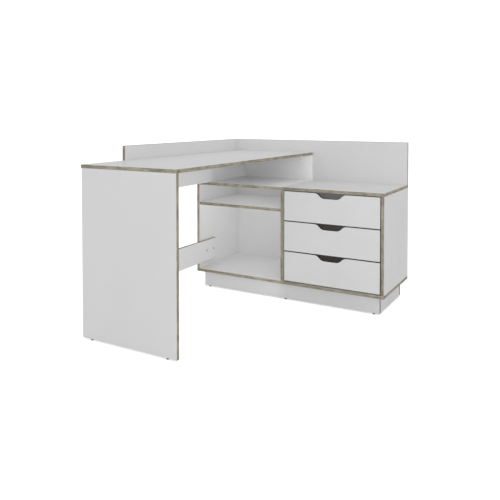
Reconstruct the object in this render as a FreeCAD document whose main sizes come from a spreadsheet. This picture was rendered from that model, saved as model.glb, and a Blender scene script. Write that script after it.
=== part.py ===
import FreeCAD, Part

import math
import os
import re

import Sketcher
from FreeCAD import Rotation, Vector

# Corner desk: a low cabinet with an open bay and three drawers stands along one wall, and a
# desktop runs out from it to the front, carried by the cabinet, an end panel and two rails.
# Every place is given as (across, back, up): millimetres to the right of the cabinet's left
# end, forwards from the wall plane behind the desk, and up from the floor.

DIMENSIONS = {
    # the whole desk
    "cabinet_length": 1068,
    "cabinet_depth": 425,
    "cabinet_height": 592,
    "desk_length": 1311,
    "desktop_width": 507,
    "end_panel_inset": 5,
    "desk_height": 750,
    "screen_height": 226,
    "upstand_reach": 1033,
    # sheet goods
    "board_thickness": 15,
    "band_thickness": 1,
    "back_thickness": 3,
    # cabinet
    "open_bay_width": 508,
    "shelf_opening": 98,
    "shelf_recess": 4,
    "shelf_side_play": 0.5,
    "plinth_height": 84,
    "plinth_side_inset": 30,
    "plinth_front_inset": 35,
    "plinth_rear_inset": 35,
    # rails under the desktop
    "apron_gap": 49,
    "stretcher_height": 118,
    "stretcher_lift": 33,
    "stretcher_overlap": 145,
    # feet
    "foot_height": 6,
    "foot_radius": 7,
    "foot_bevel": 1.5,
    "foot_stem_radius": 4,
    "foot_stem_length": 10,
    "plinth_foot_inset": 30,
    "panel_foot_inset": 50,
    # drawers
    "drawer_gap": 4,
    "front_recess": 3,
    "notch_width": 174,
    "notch_floor": 60,
    "notch_depth": 26,
    "drawer_rear_space": 54,
    "drawer_side_thickness": 12,
    "drawer_side_height": 110,
    "drawer_side_lift": 4,
    "drawer_bottom_thickness": 3,
    "drawer_bottom_lift": 12,
    "groove_depth": 6,
    # roller runners
    "runner_lift": 8,
    "runner_space": 12.5,
    "runner_setback": 2,
    "sheet_metal": 1.2,
    "lip_reach": 5,
    "running_gap": 0.3,
    "roller_radius": 8.5,
    "roller_play": 0.4,
    "roller_inset": 12,
    "axle_radius": 2.5,
    "axle_clearance": 0.05,
    "axle_head_radius": 3.8,
    "axle_head_length": 0.8,
    "axle_head_gap": 0.5,
    # cam fittings, screws, pins and brackets
    "cam_radius": 7.5,
    "cam_depth": 12,
    "drawer_cam_depth": 10,
    "cam_setback": 24,
    "neck_radius": 3.5,
    "neck_length": 20,
    "thread_radius": 2.5,
    "thread_length": 10,
    "upright_cam_inset": 80,
    "screen_cam_inset": 120,
    "rail_cam_near": 150,
    "rail_cam_far": 300,
    "plinth_cam_inset": 100,
    "panel_cam_inset": 100,
    "desktop_cam_inset": 200,
    "upstand_cam_inset": 100,
    "stretcher_cam_spread": 30,
    "drawer_fixing_low": 35,
    "drawer_fixing_high": 85,
    "screw_radius": 1.8,
    "screw_head_radius": 3.6,
    "screw_head_height": 2,
    "wood_screw_length": 12,
    "flange_screw_length": 9,
    "corner_screw_length": 30,
    "runner_screw_inset": 50,
    "channel_screw_inset": 100,
    "bolt_radius": 3,
    "bolt_head_radius": 6,
    "bolt_head_height": 2,
    "bolt_inset": 26,
    "bolt_spacing": 66,
    "pin_radius": 2.5,
    "pin_length": 16,
    "pin_inset": 40,
    "bracket_leg": 40,
    "bracket_width": 17,
    "bracket_thickness": 4,
    "bracket_screw_reach": 27,
    "bracket_near": 110,
    "bracket_far": 440,
}

DRAWER_COUNT = 3

# Planes of the desk that several pieces share, as expressions of the driving dimensions.
HALF_BOARD = "board_thickness / 2"
BOTTOM_UNDERSIDE = "(foot_height + plinth_height)"
BOTTOM_TOP = f"({BOTTOM_UNDERSIDE} + board_thickness)"
TOP_UNDERSIDE = "(cabinet_height - board_thickness)"
DIVIDER_LEFT = "(board_thickness + open_bay_width)"
DIVIDER_RIGHT = f"({DIVIDER_LEFT} + board_thickness)"
BAY_RIGHT = "(cabinet_length - board_thickness)"
DESKTOP_UNDERSIDE = "(desk_height - board_thickness)"
DESKTOP_RIGHT = "(board_thickness + desktop_width)"
END_PANEL_LEFT = "(board_thickness + end_panel_inset)"
END_PANEL_REAR = "(desk_length - board_thickness)"
SCREEN_TOP = "(cabinet_height + screen_height)"
APRON_LEFT = "(board_thickness + apron_gap)"
STRETCHER_BOTTOM = f"({BOTTOM_TOP} + stretcher_lift)"
STRETCHER_TOP = f"({STRETCHER_BOTTOM} + stretcher_height)"
STRETCHER_END = "(cabinet_depth - stretcher_overlap)"
STRETCHER_FACE = "(2 * board_thickness)"
STRETCHER_MIDDLE = f"({STRETCHER_BOTTOM} + stretcher_height / 2)"
SHELF_TOP = f"({TOP_UNDERSIDE} - shelf_opening)"
SHELF_UNDERSIDE = f"({SHELF_TOP} - board_thickness)"
SHELF_FRONT = "(cabinet_depth - shelf_recess)"
PLINTH_RIGHT = "(cabinet_length - plinth_side_inset)"
PLINTH_FRONT = "(cabinet_depth - plinth_front_inset)"
FRONT_FACE = "(cabinet_depth - front_recess)"
FRONT_BACK = f"({FRONT_FACE} - board_thickness)"
DRAWER_REAR = "(back_thickness + drawer_rear_space)"
BAY_WIDTH = f"({BAY_RIGHT} - {DIVIDER_RIGHT})"
FRONT_WIDTH = f"({BAY_WIDTH} - 2 * drawer_gap)"
BAY_HEIGHT = f"({TOP_UNDERSIDE} - {BOTTOM_TOP})"
FRONT_HEIGHT = f"(({BAY_HEIGHT} - {DRAWER_COUNT + 1} * drawer_gap) / {DRAWER_COUNT})"
ROLLER_RISE = "(sheet_metal + running_gap + roller_radius)"
RUNNER_HEIGHT = "(2 * (sheet_metal + running_gap + roller_radius))"
AXLE_REACH = "(runner_space - 2 * sheet_metal - axle_head_length - axle_head_gap)"
ROLLER_WIDTH = f"({AXLE_REACH} - roller_play - roller_play / 2)"
MEMBER_FRONT = f"({FRONT_BACK} - runner_setback)"
MEMBER_REAR = f"({DRAWER_REAR} - runner_setback)"

# Each way a piece can point: the axis of (across, back, up), its sign, and the vector.
DIRECTIONS = {
    "right": (0, "+", Vector(1, 0, 0)),
    "left": (0, "-", Vector(-1, 0, 0)),
    "front": (1, "+", Vector(0, -1, 0)),
    "rear": (1, "-", Vector(0, 1, 0)),
    "up": (2, "+", Vector(0, 0, 1)),
    "down": (2, "-", Vector(0, 0, -1)),
}
OPPOSITE = {
    "right": "left",
    "left": "right",
    "front": "rear",
    "rear": "front",
    "up": "down",
    "down": "up",
}

doc = FreeCAD.newDocument("corner_desk")
sheet = doc.addObject("Spreadsheet::Sheet", "dims")
nodes = []
fittings_in = {}


def fill_sheet():
    """Write the driving dimensions into the sheet, one row each."""
    for row, (alias, value) in enumerate(DIMENSIONS.items(), start=1):
        sheet.set(f"A{row}", alias)
        sheet.set(f"B{row}", str(value))
        sheet.setAlias(f"B{row}", alias)
    doc.recompute()


def bound(expression):
    """Turn the plain dimension names of an expression into references to the sheet."""
    return re.sub(r"[a-z_]+", lambda alias: "dims." + alias.group(), expression)


def value(expression):
    """What an expression of the driving dimensions comes to now."""
    return float(sheet.evalExpression(bound(expression)))


def place(piece, point):
    """Bind a piece's origin to a point given as (across, back, up)."""
    across, back, up = point
    piece.setExpression("Placement.Base.x", bound(f"{across} - cabinet_length / 2"))
    piece.setExpression("Placement.Base.y", bound(f"desk_length / 2 - ({back})"))
    piece.setExpression("Placement.Base.z", bound(up))


def shifted(point, direction, distance):
    """The point moved by a distance expression in a direction."""
    axis, sign, _ = DIRECTIONS[direction]
    moved = list(point)
    moved[axis] = f"({moved[axis]} {sign} ({distance}))"
    return tuple(moved)


def block(name, across, back, up):
    """A rectangular piece between two distances along each of the three directions."""
    piece = doc.addObject("Part::Box", name)
    for size, (low, high) in (("Length", across), ("Width", back), ("Height", up)):
        piece.setExpression(size, bound(f"({high}) - ({low})"))
    place(piece, (across[0], back[1], up[0]))
    return piece


def rod(name, start, direction, radius, length):
    """A round piece from a start point along a direction."""
    piece = doc.addObject("Part::Cylinder", name)
    piece.Placement.Rotation = Rotation(Vector(0, 0, 1), DIRECTIONS[direction][2])
    piece.setExpression("Radius", bound(radius))
    piece.setExpression("Height", bound(length))
    place(piece, start)
    return piece


def taper(name, start, direction, radii, length):
    """A conical piece from a start point along a direction, with its two end radii."""
    piece = doc.addObject("Part::Cone", name)
    piece.Placement.Rotation = Rotation(Vector(0, 0, 1), DIRECTIONS[direction][2])
    piece.setExpression("Radius1", bound(radii[0]))
    piece.setExpression("Radius2", bound(radii[1]))
    piece.setExpression("Height", bound(length))
    place(piece, start)
    return piece


def joined(name, pieces):
    """One solid fused from several."""
    fused = doc.addObject("Part::MultiFuse", name)
    fused.Shapes = pieces
    return fused


def less(name, base, tools):
    """A piece with the shapes of the tools taken out of it."""
    result = doc.addObject("Part::Cut", name)
    result.Base = base
    result.Tool = tools[0] if len(tools) == 1 else joined(name + "_holes", tools)
    return result


def node(piece, name):
    """Keep a piece as one sub-part, under the name of its file."""
    piece.Label = name
    nodes.append(piece)


def group(name, pieces):
    """Keep several like solids as one sub-part."""
    compound = doc.addObject("Part::Compound", name)
    compound.Links = pieces
    node(compound, name)


def fitted(name, blank):
    """Keep a board as a sub-part, bored for every fitting that was set into it."""
    tools = fittings_in.get(name, [])
    node(less(name, blank, tools) if tools else blank, name)


def set_into(board, *fittings):
    """Note that a board is bored for these fittings."""
    fittings_in.setdefault(board, []).extend(fittings)


def cam_joint(name, boards, point, into, face, half_thickness=HALF_BOARD, depth="cam_depth"):
    """A cam in the first board draws a bolt that is screwed into the second.

    The point lies where the boards meet, in the middle of the first board's thickness.
    """
    away = OPPOSITE[into]
    centre = shifted(point, away, "cam_setback")
    neck = rod(name + "_neck", point, away, "neck_radius", "neck_length")
    thread = rod(name + "_thread", point, into, "thread_radius", "thread_length")
    bolt = joined(name + "_bolt", [neck, thread])
    disc = rod(name + "_disc", shifted(centre, face, half_thickness), OPPOSITE[face], "cam_radius", depth)
    cam = less(name + "_cam", disc, [bolt])
    set_into(boards[0], cam, bolt)
    set_into(boards[1], bolt)
    return cam, bolt


def countersunk_screw(name, point, direction, length):
    """A wood screw whose head lies flush at the point."""
    radii = ("screw_head_radius", "screw_radius")
    head = taper(name + "_head", point, direction, radii, "screw_head_height")
    shank = rod(name + "_shank", point, direction, "screw_radius", length)
    return joined(name, [head, shank])


def cabinet_joints():
    """Cam fittings of the cabinet and its plinth."""
    made = []
    uprights = (
        ("cabinet_left_side", HALF_BOARD, "left"),
        ("cabinet_divider", f"({DIVIDER_LEFT} + {HALF_BOARD})", "right"),
        ("cabinet_right_side", f"({BAY_RIGHT} + {HALF_BOARD})", "left"),
    )
    insets = ("upright_cam_inset", "(cabinet_depth - upright_cam_inset)")
    for board, middle, face in uprights:
        for row, inset in enumerate(insets, start=1):
            top = (middle, inset, TOP_UNDERSIDE)
            foot = (middle, inset, BOTTOM_TOP)
            made.append(cam_joint(f"{board}_top_{row}", (board, "cabinet_top"), top, "up", face))
            made.append(cam_joint(f"{board}_foot_{row}", (board, "cabinet_bottom"), foot, "down", face))
    middles = {
        "plinth_front": (f"({PLINTH_FRONT} - {HALF_BOARD})", "rear"),
        "plinth_rear": (f"(plinth_rear_inset + {HALF_BOARD})", "front"),
    }
    rows = (
        "(plinth_side_inset + plinth_cam_inset)",
        "cabinet_length / 2",
        "(cabinet_length - plinth_side_inset - plinth_cam_inset)",
    )
    for board, (middle, face) in middles.items():
        for row, across in enumerate(rows, start=1):
            point = (across, middle, BOTTOM_UNDERSIDE)
            made.append(cam_joint(f"{board}_{row}", (board, "cabinet_bottom"), point, "up", face))
    sides = {
        "plinth_left": (f"(plinth_side_inset + {HALF_BOARD})", "right"),
        "plinth_right": (f"({PLINTH_RIGHT} - {HALF_BOARD})", "left"),
    }
    ends = {
        "front": ("plinth_front", f"({PLINTH_FRONT} - board_thickness)"),
        "rear": ("plinth_rear", "(plinth_rear_inset + board_thickness)"),
    }
    for board, (middle, face) in sides.items():
        for into, (other, meeting) in ends.items():
            point = (middle, meeting, "(foot_height + plinth_height / 2)")
            made.append(cam_joint(f"{board}_{into}", (board, other), point, into, face))
    return made


def desk_joints():
    """Cam fittings of the desktop, the screens, the end panel and the rails."""
    made = []
    along_screen = ("screen_cam_inset", "cabinet_length / 2", "(cabinet_length - screen_cam_inset)")
    for row, across in enumerate(along_screen):
        point = (across, HALF_BOARD, "cabinet_height")
        made.append(cam_joint(f"screen_{row}", ("rear_screen", "cabinet_top"), point, "down", "rear"))
    rails = {"upstand": HALF_BOARD, "apron_rail": f"({APRON_LEFT} + {HALF_BOARD})"}
    rail_middle = f"((cabinet_height + {DESKTOP_UNDERSIDE}) / 2)"
    for board, middle in rails.items():
        for row, back in enumerate(("rail_cam_near", "rail_cam_far")):
            point = (middle, back, "cabinet_height")
            made.append(cam_joint(f"{board}_down_{row}", (board, "cabinet_top"), point, "down", "left"))
        corner = (middle, "board_thickness", rail_middle)
        made.append(cam_joint(f"{board}_corner", (board, "rear_screen"), corner, "rear", "left"))
    end = (rails["apron_rail"], END_PANEL_REAR, rail_middle)
    made.append(cam_joint("apron_end", ("apron_rail", "end_panel"), end, "front", "left"))
    along = ("desktop_cam_inset", "desk_length / 2", "(desk_length - desktop_cam_inset)")
    for row, back in enumerate(along):
        point = (rails["apron_rail"], back, DESKTOP_UNDERSIDE)
        made.append(cam_joint(f"apron_up_{row}", ("apron_rail", "desktop"), point, "up", "left"))
    beside = ("desktop_cam_inset", "upstand_reach / 2", "(upstand_reach - upstand_cam_inset)")
    for row, back in enumerate(beside):
        point = ("board_thickness", back, f"(desk_height - {HALF_BOARD})")
        made.append(cam_joint(f"desktop_{row}", ("desktop", "upstand"), point, "left", "down"))
    across_panel = (
        f"({END_PANEL_LEFT} + panel_cam_inset)",
        f"(({END_PANEL_LEFT} + {DESKTOP_RIGHT}) / 2)",
        f"({DESKTOP_RIGHT} - panel_cam_inset)",
    )
    for row, across in enumerate(across_panel):
        point = (across, f"({END_PANEL_REAR} + {HALF_BOARD})", DESKTOP_UNDERSIDE)
        made.append(cam_joint(f"end_panel_{row}", ("end_panel", "desktop"), point, "up", "rear"))
    for row, sign in enumerate("-+"):
        up = f"({STRETCHER_MIDDLE} {sign} stretcher_cam_spread)"
        point = (f"(board_thickness + {HALF_BOARD})", END_PANEL_REAR, up)
        made.append(cam_joint(f"stretcher_{row}", ("stretcher", "end_panel"), point, "front", "left"))
    return made


def cabinet_boards():
    """The boards of the cabinet; the cabinet's top and bottom run over its uprights."""
    inside = (BOTTOM_TOP, TOP_UNDERSIDE)
    core_across = ("band_thickness", "cabinet_length - band_thickness")
    core_back = ("0", "cabinet_depth - band_thickness")
    top_up = (TOP_UNDERSIDE, "cabinet_height")
    fitted("cabinet_top", block("top_blank", core_across, core_back, top_up))
    bottom_up = (BOTTOM_UNDERSIDE, BOTTOM_TOP)
    fitted("cabinet_bottom", block("bottom_blank", core_across, core_back, bottom_up))
    behind_band = ("back_thickness", "cabinet_depth - band_thickness")
    uprights = {
        "cabinet_left_side": ("0", "board_thickness"),
        "cabinet_divider": (DIVIDER_LEFT, DIVIDER_RIGHT),
        "cabinet_right_side": (BAY_RIGHT, "cabinet_length"),
    }
    for name, across in uprights.items():
        fitted(name, block(name + "_blank", across, behind_band, inside))
    shelf_across = ("board_thickness + shelf_side_play", f"{DIVIDER_LEFT} - shelf_side_play")
    shelf_back = ("back_thickness", f"{SHELF_FRONT} - band_thickness")
    shelf_up = (SHELF_UNDERSIDE, SHELF_TOP)
    fitted("cabinet_shelf", block("shelf_blank", shelf_across, shelf_back, shelf_up))
    back_across = ("0", "cabinet_length")
    fitted("cabinet_back_panel", block("back_blank", back_across, ("0", "back_thickness"), inside))


def plinth_boards():
    """The recessed plinth: front and rear boards run through, the side boards stand between."""
    up = ("foot_height", BOTTOM_UNDERSIDE)
    across = ("plinth_side_inset", PLINTH_RIGHT)
    front = (f"{PLINTH_FRONT} - board_thickness", PLINTH_FRONT)
    rear = ("plinth_rear_inset", "plinth_rear_inset + board_thickness")
    between = (rear[1], front[0])
    fitted("plinth_front", block("plinth_front_blank", across, front, up))
    fitted("plinth_rear", block("plinth_rear_blank", across, rear, up))
    left = ("plinth_side_inset", "plinth_side_inset + board_thickness")
    right = (f"{PLINTH_RIGHT} - board_thickness", PLINTH_RIGHT)
    fitted("plinth_left", block("plinth_left_blank", left, between, up))
    fitted("plinth_right", block("plinth_right_blank", right, between, up))


def desk_boards():
    """Desktop, end panel, both screens, the apron rail and the low stretcher."""
    core_right = f"{DESKTOP_RIGHT} - band_thickness"
    core_left = "board_thickness + band_thickness"
    top_back = ("board_thickness", "desk_length - band_thickness")
    top_up = (DESKTOP_UNDERSIDE, "desk_height")
    fitted("desktop", block("desktop_blank", (core_left, core_right), top_back, top_up))
    panel_back = (END_PANEL_REAR, "desk_length")
    panel_up = ("foot_height", DESKTOP_UNDERSIDE)
    panel_across = (f"{END_PANEL_LEFT} + band_thickness", core_right)
    fitted("end_panel", block("end_panel_blank", panel_across, panel_back, panel_up))
    screen_up = ("cabinet_height", f"{SCREEN_TOP} - band_thickness")
    screen_across = ("band_thickness", "cabinet_length - band_thickness")
    screen_back = ("0", "board_thickness")
    fitted("rear_screen", block("rear_screen_blank", screen_across, screen_back, screen_up))
    upstand_back = ("board_thickness", "upstand_reach - band_thickness")
    upstand_across = ("0", "board_thickness")
    fitted("upstand", block("upstand_blank", upstand_across, upstand_back, screen_up))
    apron_across = (APRON_LEFT, f"{APRON_LEFT} + board_thickness")
    apron_back = ("board_thickness", END_PANEL_REAR)
    apron_up = ("cabinet_height", DESKTOP_UNDERSIDE)
    fitted("apron_rail", block("apron_blank", apron_across, apron_back, apron_up))
    stretcher_up = (f"{STRETCHER_BOTTOM} + band_thickness", f"{STRETCHER_TOP} - band_thickness")
    stretcher_across = ("board_thickness", STRETCHER_FACE)
    stretcher_back = (STRETCHER_END, END_PANEL_REAR)
    fitted("stretcher", block("stretcher_blank", stretcher_across, stretcher_back, stretcher_up))


def edge_bands():
    """The strips glued to every edge that shows."""
    front_strip = ("cabinet_depth - band_thickness", "cabinet_depth")
    left_strip = ("0", "band_thickness")
    right_strip = ("cabinet_length - band_thickness", "cabinet_length")
    behind = ("0", "cabinet_depth - band_thickness")
    flat = []
    levels = {"top": (TOP_UNDERSIDE, "cabinet_height"), "bottom": (BOTTOM_UNDERSIDE, BOTTOM_TOP)}
    for name, up in levels.items():
        flat.append(block(f"{name}_front_band", ("0", "cabinet_length"), front_strip, up))
        flat.append(block(f"{name}_left_band", left_strip, behind, up))
        flat.append(block(f"{name}_right_band", right_strip, behind, up))
    shelf_across = ("board_thickness + shelf_side_play", f"{DIVIDER_LEFT} - shelf_side_play")
    shelf_back = (f"{SHELF_FRONT} - band_thickness", SHELF_FRONT)
    flat.append(block("shelf_band", shelf_across, shelf_back, (SHELF_UNDERSIDE, SHELF_TOP)))
    group("cabinet_board_edge_bands", flat)

    inside = (BOTTOM_TOP, TOP_UNDERSIDE)
    standing = [
        block("left_side_band", ("0", "board_thickness"), front_strip, inside),
        block("divider_band", (DIVIDER_LEFT, DIVIDER_RIGHT), front_strip, inside),
        block("right_side_band", (BAY_RIGHT, "cabinet_length"), front_strip, inside),
    ]
    group("cabinet_upright_edge_bands", standing)

    desk_right = (f"{DESKTOP_RIGHT} - band_thickness", DESKTOP_RIGHT)
    desk_left = ("board_thickness", "board_thickness + band_thickness")
    beside = ("board_thickness", "desk_length - band_thickness")
    desk_up = (DESKTOP_UNDERSIDE, "desk_height")
    near = ("desk_length - band_thickness", "desk_length")
    left_band = block("desktop_left_blank", desk_left, beside, desk_up)
    bands = [
        block("desktop_near_band", ("board_thickness", DESKTOP_RIGHT), near, desk_up),
        block("desktop_right_band", desk_right, beside, desk_up),
        less("desktop_left_band", left_band, fittings_in["desktop_left_band"]),
    ]
    group("desktop_edge_bands", bands)

    panel_back = (END_PANEL_REAR, "desk_length")
    panel_up = ("foot_height", DESKTOP_UNDERSIDE)
    panel_left = (END_PANEL_LEFT, f"{END_PANEL_LEFT} + band_thickness")
    left_band = block("end_panel_left_blank", panel_left, panel_back, panel_up)
    bands = [
        block("end_panel_right_band", desk_right, panel_back, panel_up),
        less("end_panel_left_band", left_band, fittings_in["end_panel_left_band"]),
    ]
    group("end_panel_edge_bands", bands)

    cap = (f"{SCREEN_TOP} - band_thickness", SCREEN_TOP)
    screen_up = ("cabinet_height", f"{SCREEN_TOP} - band_thickness")
    upstand_back = ("board_thickness", "upstand_reach")
    upstand_end = ("upstand_reach - band_thickness", "upstand_reach")
    bands = [
        block("screen_top_band", ("0", "cabinet_length"), ("0", "board_thickness"), cap),
        block("screen_left_band", left_strip, ("0", "board_thickness"), screen_up),
        block("screen_right_band", right_strip, ("0", "board_thickness"), screen_up),
        block("upstand_top_band", ("0", "board_thickness"), upstand_back, cap),
        block("upstand_end_band", ("0", "board_thickness"), upstand_end, screen_up),
    ]
    group("screen_edge_bands", bands)

    across = ("board_thickness", STRETCHER_FACE)
    back = (STRETCHER_END, END_PANEL_REAR)
    top_up = (f"{STRETCHER_TOP} - band_thickness", STRETCHER_TOP)
    low_up = (STRETCHER_BOTTOM, f"{STRETCHER_BOTTOM} + band_thickness")
    bands = [
        block("stretcher_top_band", across, back, top_up),
        block("stretcher_low_band", across, back, low_up),
    ]
    group("stretcher_edge_bands", bands)


def glide_feet():
    """Nylon glides pressed into the lower edges of the plinth and of the end panel."""
    spots = []
    plinth_across = (
        "(plinth_side_inset + plinth_foot_inset)",
        "cabinet_length / 2",
        "(cabinet_length - plinth_side_inset - plinth_foot_inset)",
    )
    for across in plinth_across:
        spots.append(("plinth_front", across, f"({PLINTH_FRONT} - {HALF_BOARD})"))
        spots.append(("plinth_rear", across, f"(plinth_rear_inset + {HALF_BOARD})"))
    panel_across = (
        f"({END_PANEL_LEFT} + panel_foot_inset)",
        f"({DESKTOP_RIGHT} - panel_foot_inset)",
    )
    for across in panel_across:
        spots.append(("end_panel", across, f"({END_PANEL_REAR} + {HALF_BOARD})"))
    feet = []
    for number, (board, across, back) in enumerate(spots, start=1):
        name = f"foot_{number}"
        radii = ("foot_radius - foot_bevel", "foot_radius")
        head_start = (across, back, "foot_bevel")
        head_length = "foot_height - foot_bevel"
        stem_start = (across, back, "foot_height")
        sole = taper(name + "_sole", (across, back, "0"), "up", radii, "foot_bevel")
        head = rod(name + "_head", head_start, "up", "foot_radius", head_length)
        stem = rod(name + "_stem", stem_start, "up", "foot_stem_radius", "foot_stem_length")
        feet.append(joined(name, [sole, head, stem]))
        set_into(board, stem)
    group("glide_feet", feet)


def stretcher_bolts():
    """Bolts through the stretcher and the cabinet's left side, with flush nuts outside."""
    bolts = []
    first = f"({STRETCHER_END} + bolt_inset)"
    second = f"({STRETCHER_END} + bolt_inset + bolt_spacing)"
    for row, back in enumerate((first, second)):
        name = f"stretcher_bolt_{row}"
        inner_face = (STRETCHER_FACE, back, STRETCHER_MIDDLE)
        outer_face = ("0", back, STRETCHER_MIDDLE)
        head = rod(name + "_head", inner_face, "right", "bolt_head_radius", "bolt_head_height")
        shank = rod(name + "_shank", inner_face, "left", "bolt_radius", STRETCHER_FACE)
        nut = rod(name + "_nut", outer_face, "right", "bolt_head_radius", "bolt_head_height")
        bolts.append(joined(name, [head, shank, nut]))
        set_into("stretcher", shank)
        set_into("cabinet_left_side", shank, nut)
    group("stretcher_bolts", bolts)


def shelf_pins():
    """Pins in the left side and the divider that carry the shelf."""
    pins = []
    faces = (
        ("cabinet_left_side", "(board_thickness - pin_length / 2)"),
        ("cabinet_divider", f"({DIVIDER_LEFT} - pin_length / 2)"),
    )
    for board, across in faces:
        for back in ("pin_inset", "(cabinet_depth - pin_inset)"):
            start = (across, back, f"({SHELF_UNDERSIDE} - pin_radius)")
            pin = rod(f"shelf_pin_{len(pins) + 1}", start, "right", "pin_radius", "pin_length")
            pins.append(pin)
            set_into(board, pin)
    group("shelf_pins", pins)


def corner_brackets():
    """Plastic angles between the rear screen and the underside of the desktop, and their screws."""
    brackets = []
    screws = []
    for row, left in enumerate(("bracket_near", "bracket_far")):
        across = (left, f"{left} + bracket_width")
        middle = f"({left} + bracket_width / 2)"
        wall_leg = block(
            f"bracket_{row}_wall_leg",
            across,
            ("board_thickness", "board_thickness + bracket_thickness"),
            (f"{DESKTOP_UNDERSIDE} - bracket_leg", DESKTOP_UNDERSIDE),
        )
        top_leg = block(
            f"bracket_{row}_top_leg",
            across,
            ("board_thickness", "board_thickness + bracket_leg"),
            (f"{DESKTOP_UNDERSIDE} - bracket_thickness", DESKTOP_UNDERSIDE),
        )
        on_wall = (
            middle,
            "(board_thickness + bracket_thickness)",
            f"({DESKTOP_UNDERSIDE} - bracket_screw_reach)",
        )
        on_top = (
            middle,
            "(board_thickness + bracket_screw_reach)",
            f"({DESKTOP_UNDERSIDE} - bracket_thickness)",
        )
        wall_screw = countersunk_screw(f"bracket_{row}_wall_screw", on_wall, "rear", "wood_screw_length")
        top_screw = countersunk_screw(f"bracket_{row}_top_screw", on_top, "up", "wood_screw_length")
        set_into("rear_screen", wall_screw)
        set_into("desktop", top_screw)
        screws += [wall_screw, top_screw]
        angle = joined(f"bracket_{row}_angle", [wall_leg, top_leg])
        brackets.append(less(f"bracket_{row}", angle, [wall_screw, top_screw]))
    group("corner_brackets", brackets)
    return screws


def from_wall(side, low, high):
    """The span between two distances from the left or right wall of the drawer bay."""
    if side == "left":
        return (f"({DIVIDER_RIGHT} + ({low}))", f"({DIVIDER_RIGHT} + ({high}))")
    return (f"({BAY_RIGHT} - ({high}))", f"({BAY_RIGHT} - ({low}))")


def at_wall(side, distance):
    """The place at a distance from the left or right wall of the drawer bay."""
    return f"({DIVIDER_RIGHT} + ({distance}))" if side == "left" else f"({BAY_RIGHT} - ({distance}))"


WALL_OF = {"left": "cabinet_divider", "right": "cabinet_right_side"}


def roller(name, side, low, back, up):
    """A nylon roller whose inner end lies at a distance from the bay's wall."""
    towards = OPPOSITE[side]
    start = (at_wall(side, low), back, up)
    tyre = rod(name + "_tyre", start, towards, "roller_radius", ROLLER_WIDTH)
    bore = rod(name + "_bore", start, towards, "axle_radius + axle_clearance", ROLLER_WIDTH)
    return less(name, tyre, [bore])


def cabinet_runner(name, side, low):
    """The fixed channel on the bay's wall, with the stub axle of its front roller and two screws."""
    back = (MEMBER_REAR, MEMBER_FRONT)
    top = f"{low} + {RUNNER_HEIGHT}"
    web = block(name + "_web", from_wall(side, "0", "sheet_metal"), back, (low, top))
    flange_across = from_wall(side, "0", "runner_space - sheet_metal - running_gap")
    flange = block(name + "_flange", flange_across, back, (low, f"{low} + sheet_metal"))
    lip_up = (f"{top} - sheet_metal", top)
    lip = block(name + "_lip", from_wall(side, "0", "lip_reach"), back, lip_up)
    axle_back = f"({MEMBER_FRONT} - roller_inset)"
    axle_up = f"({low} + {ROLLER_RISE})"
    towards = OPPOSITE[side]
    axle_root = (at_wall(side, "sheet_metal"), axle_back, axle_up)
    axle = rod(name + "_axle", axle_root, towards, "axle_radius", AXLE_REACH)
    axle_tip = shifted(axle_root, towards, AXLE_REACH)
    head = rod(name + "_axle_head", axle_tip, towards, "axle_head_radius", "axle_head_length")
    screws = []
    spots = (f"({MEMBER_REAR} + runner_screw_inset)", f"({MEMBER_FRONT} - channel_screw_inset)")
    for row, place_back in enumerate(spots):
        point = (at_wall(side, "sheet_metal"), place_back, axle_up)
        screws.append(countersunk_screw(f"{name}_screw_{row}", point, side, "wood_screw_length"))
    set_into(WALL_OF[side], *screws)
    channel = less(name, joined(name + "_channel", [web, flange, lip, axle, head]), screws)
    wheel = roller(name + "_roller", side, "sheet_metal + roller_play", axle_back, axle_up)
    return channel, wheel, screws


def drawer_runner(name, side, low):
    """The rail under a drawer side: it rides on the front roller and carries the rear one."""
    back = (DRAWER_REAR, FRONT_BACK)
    outer = "runner_space - sheet_metal"
    side_low = f"({low} + drawer_side_lift)"
    top = f"{low} + {RUNNER_HEIGHT}"
    web_up = (f"{side_low} - sheet_metal", top)
    web = block(name + "_web", from_wall(side, outer, "runner_space"), back, web_up)
    rail_up = (f"{top} - sheet_metal", top)
    rail = block(name + "_rail", from_wall(side, "lip_reach + 2 * running_gap", outer), back, rail_up)
    shelf_across = from_wall(side, outer, "runner_space + drawer_side_thickness")
    shelf = block(name + "_shelf", shelf_across, back, (f"{side_low} - sheet_metal", side_low))
    axle_back = f"({DRAWER_REAR} + roller_inset)"
    axle_up = f"({low} + {ROLLER_RISE})"
    axle_root = (at_wall(side, outer), axle_back, axle_up)
    axle = rod(name + "_axle", axle_root, side, "axle_radius", AXLE_REACH)
    axle_tip = shifted(axle_root, side, AXLE_REACH)
    head = rod(name + "_axle_head", axle_tip, side, "axle_head_radius", "axle_head_length")
    screws = []
    middle = at_wall(side, "runner_space + drawer_side_thickness / 2")
    spots = (f"({DRAWER_REAR} + runner_screw_inset)", f"({FRONT_BACK} - runner_screw_inset)")
    for row, place_back in enumerate(spots):
        point = (middle, place_back, f"({side_low} - sheet_metal)")
        screws.append(countersunk_screw(f"{name}_screw_{row}", point, "up", "flange_screw_length"))
    member = less(name, joined(name + "_section", [web, rail, shelf, axle, head]), screws)
    inner_end = f"runner_space - sheet_metal - roller_play - {ROLLER_WIDTH}"
    wheel = roller(name + "_roller", side, inner_end, axle_back, axle_up)
    return member, wheel, screws


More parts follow.
